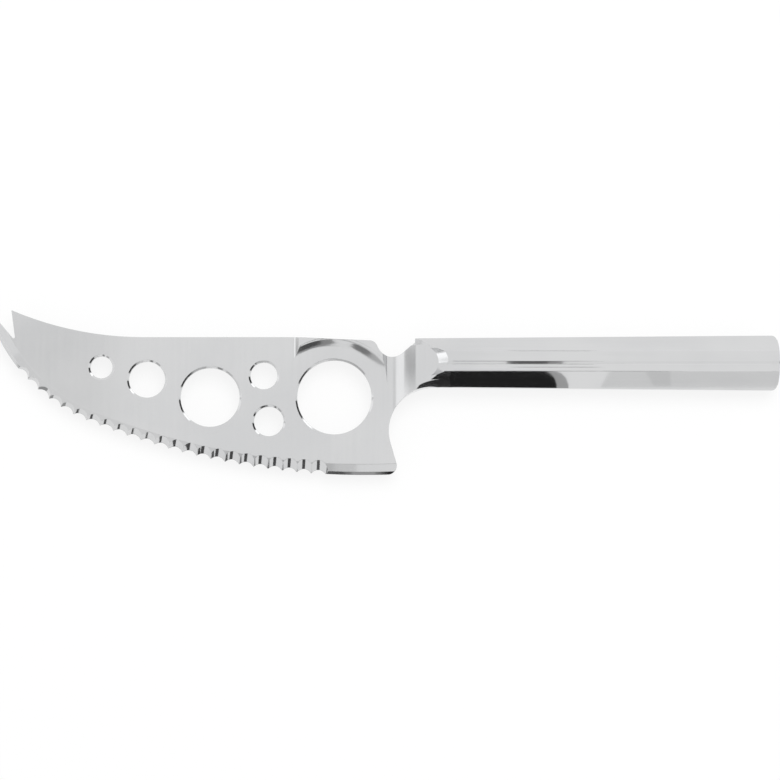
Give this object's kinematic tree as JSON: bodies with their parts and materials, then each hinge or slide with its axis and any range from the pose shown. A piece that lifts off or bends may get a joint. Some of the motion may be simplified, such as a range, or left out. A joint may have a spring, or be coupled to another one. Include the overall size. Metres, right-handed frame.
{
  "type": "cheese knife",
  "caption": "All-stainless cheese knife with a forked tip, through holes in the blade, a scalloped edge and a hollow six-sided handle.",
  "frame": {"origin": "centre of the knife's bounding box, on the plane of the handle's back face", "axes": "+X along the handle from the blade to the butt, +Y from the cutting edge to the spine, +Z out of the front face, on which the edge is ground"},
  "size_m": [0.25, 0.0532, 0.014],
  "materials": {
    "blade_steel": "fine satin, with broken and polished edges",
    "handle_steel": "polished stainless steel, lightly worn",
    "cap_steel": "polished stainless steel, lightly worn",
    "resin": "cast resin, hidden"
  },
  "bodies": {
    "root": {"blade": "blade_steel", "handle_front_shell": "handle_steel", "handle_back_shell": "handle_steel", "butt_cap": "cap_steel", "handle_filler": "resin"}
  },
  "joints": []
}
